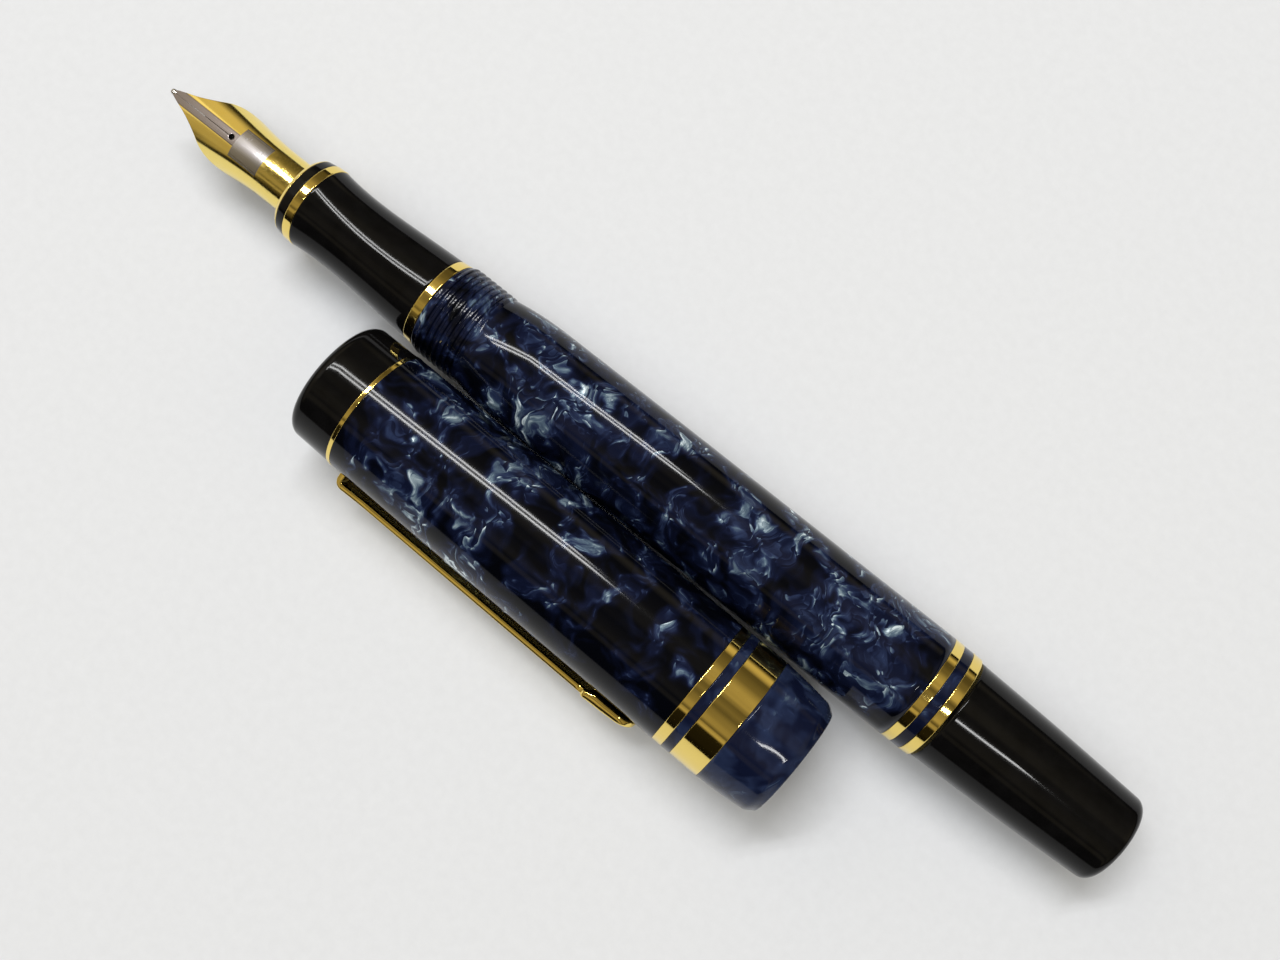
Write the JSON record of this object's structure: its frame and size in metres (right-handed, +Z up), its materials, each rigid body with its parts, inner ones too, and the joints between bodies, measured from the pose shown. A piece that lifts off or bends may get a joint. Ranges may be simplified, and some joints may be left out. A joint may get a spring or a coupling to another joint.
{
  "type": "fountain pen",
  "caption": "Marbled fountain pen lying uncapped, with a gold nib on a waisted grip section, its cap with a sprung clip beside it, and a piston converter inside.",
  "frame": {"origin": "bottom centre of the pen and its cap as they lie side by side on a flat surface", "axes": "+X from the tail of the pen to its nib, +Y from the pen to the cap, +Z up"},
  "size_m": [0.133, 0.0301, 0.0152],
  "materials": {
    "marbled_resin": "polished, pearly dark blue marble",
    "black_resin": "polished",
    "black_plastic": "satin",
    "gold": "polished gold plate",
    "nib_gold": "polished gold with a silver-coloured centre",
    "tipping_metal": "polished",
    "brass": "turned",
    "steel": "turned",
    "seal_rubber": "matte",
    "clear_plastic": "clear"
  },
  "bodies": {
    "barrel": {"barrel_tube": "marbled_resin", "barrel_liner": "brass", "tail_ring_front": "gold", "tail_spacer": "marbled_resin", "tail_ring_rear": "gold", "tail_piece": "black_resin"},
    "barrel_ring": {"section_barrel_ring": "gold"},
    "seal_ring": {"section_seal_ring": "seal_rubber"},
    "section": {"grip_section": "black_resin", "section_thread_sleeve": "brass", "section_front_ring": "gold", "section_lip_spacer": "black_resin", "section_lip_ring": "gold", "nib_housing": "black_plastic", "nib": "nib_gold", "nib_tipping": "tipping_metal", "feed": "black_plastic", "converter_tube": "clear_plastic", "converter_collar": "gold", "converter_guide_nut": "black_plastic"},
    "piston": {"piston_rod": "black_plastic", "piston_seal": "seal_rubber"},
    "knob": {"converter_knob": "black_resin"},
    "cap": {"cap_lip": "marbled_resin", "cap_thread_sleeve": "black_plastic", "cap_band_wide": "gold", "cap_band_spacer": "marbled_resin", "cap_band_narrow": "gold", "cap_tube": "marbled_resin", "cap_top_ring": "gold", "cap_crown": "black_resin", "clip_washer": "steel", "inner_cap": "black_plastic", "crown_screw": "steel"},
    "clip": {"clip": "gold"}
  },
  "joints": [
    {"name": "section_draw", "type": "slide", "parent": "barrel", "child": "barrel_ring", "axis": [1, 0, 0], "range_m": [0, 0.083]},
    {"name": "section_unscrew", "type": "slide", "parent": "barrel_ring", "child": "seal_ring", "axis": [1, 0, 0], "range_m": [0, 0.004]},
    {"name": "section_turn", "type": "hinge", "parent": "seal_ring", "child": "section", "pos_m": [0.02686, -0.00867, 0.00645], "axis": [1, 0, 0], "range_deg": [0, 1800.01]},
    {"name": "piston_travel", "type": "slide", "parent": "section", "child": "piston", "axis": [-1, 0, 0], "range_m": [0, 0.0192]},
    {"name": "knob_turn", "type": "hinge", "parent": "section", "child": "knob", "pos_m": [-0.02994, -0.00867, 0.00645], "axis": [1, 0, 0], "range_deg": [0, 2160.01]},
    {"name": "cap_draw", "type": "slide", "parent": "barrel", "child": "cap", "axis": [1, 0, 0], "range_m": [0, 0.12]},
    {"name": "clip_spring", "type": "hinge", "parent": "cap", "child": "clip", "pos_m": [0.02203, 0.01173, 0.00458], "axis": [-0.0059, -0.4226, -0.9063], "range_deg": [0, 3.5], "stiffness_Nm_per_rad": 2}
  ],
  "couplings": [
    {"joint": "section_turn", "follows": "section_unscrew", "rad_per_m": 7854},
    {"joint": "knob_turn", "follows": "piston_travel", "rad_per_m": 1963.5}
  ]
}
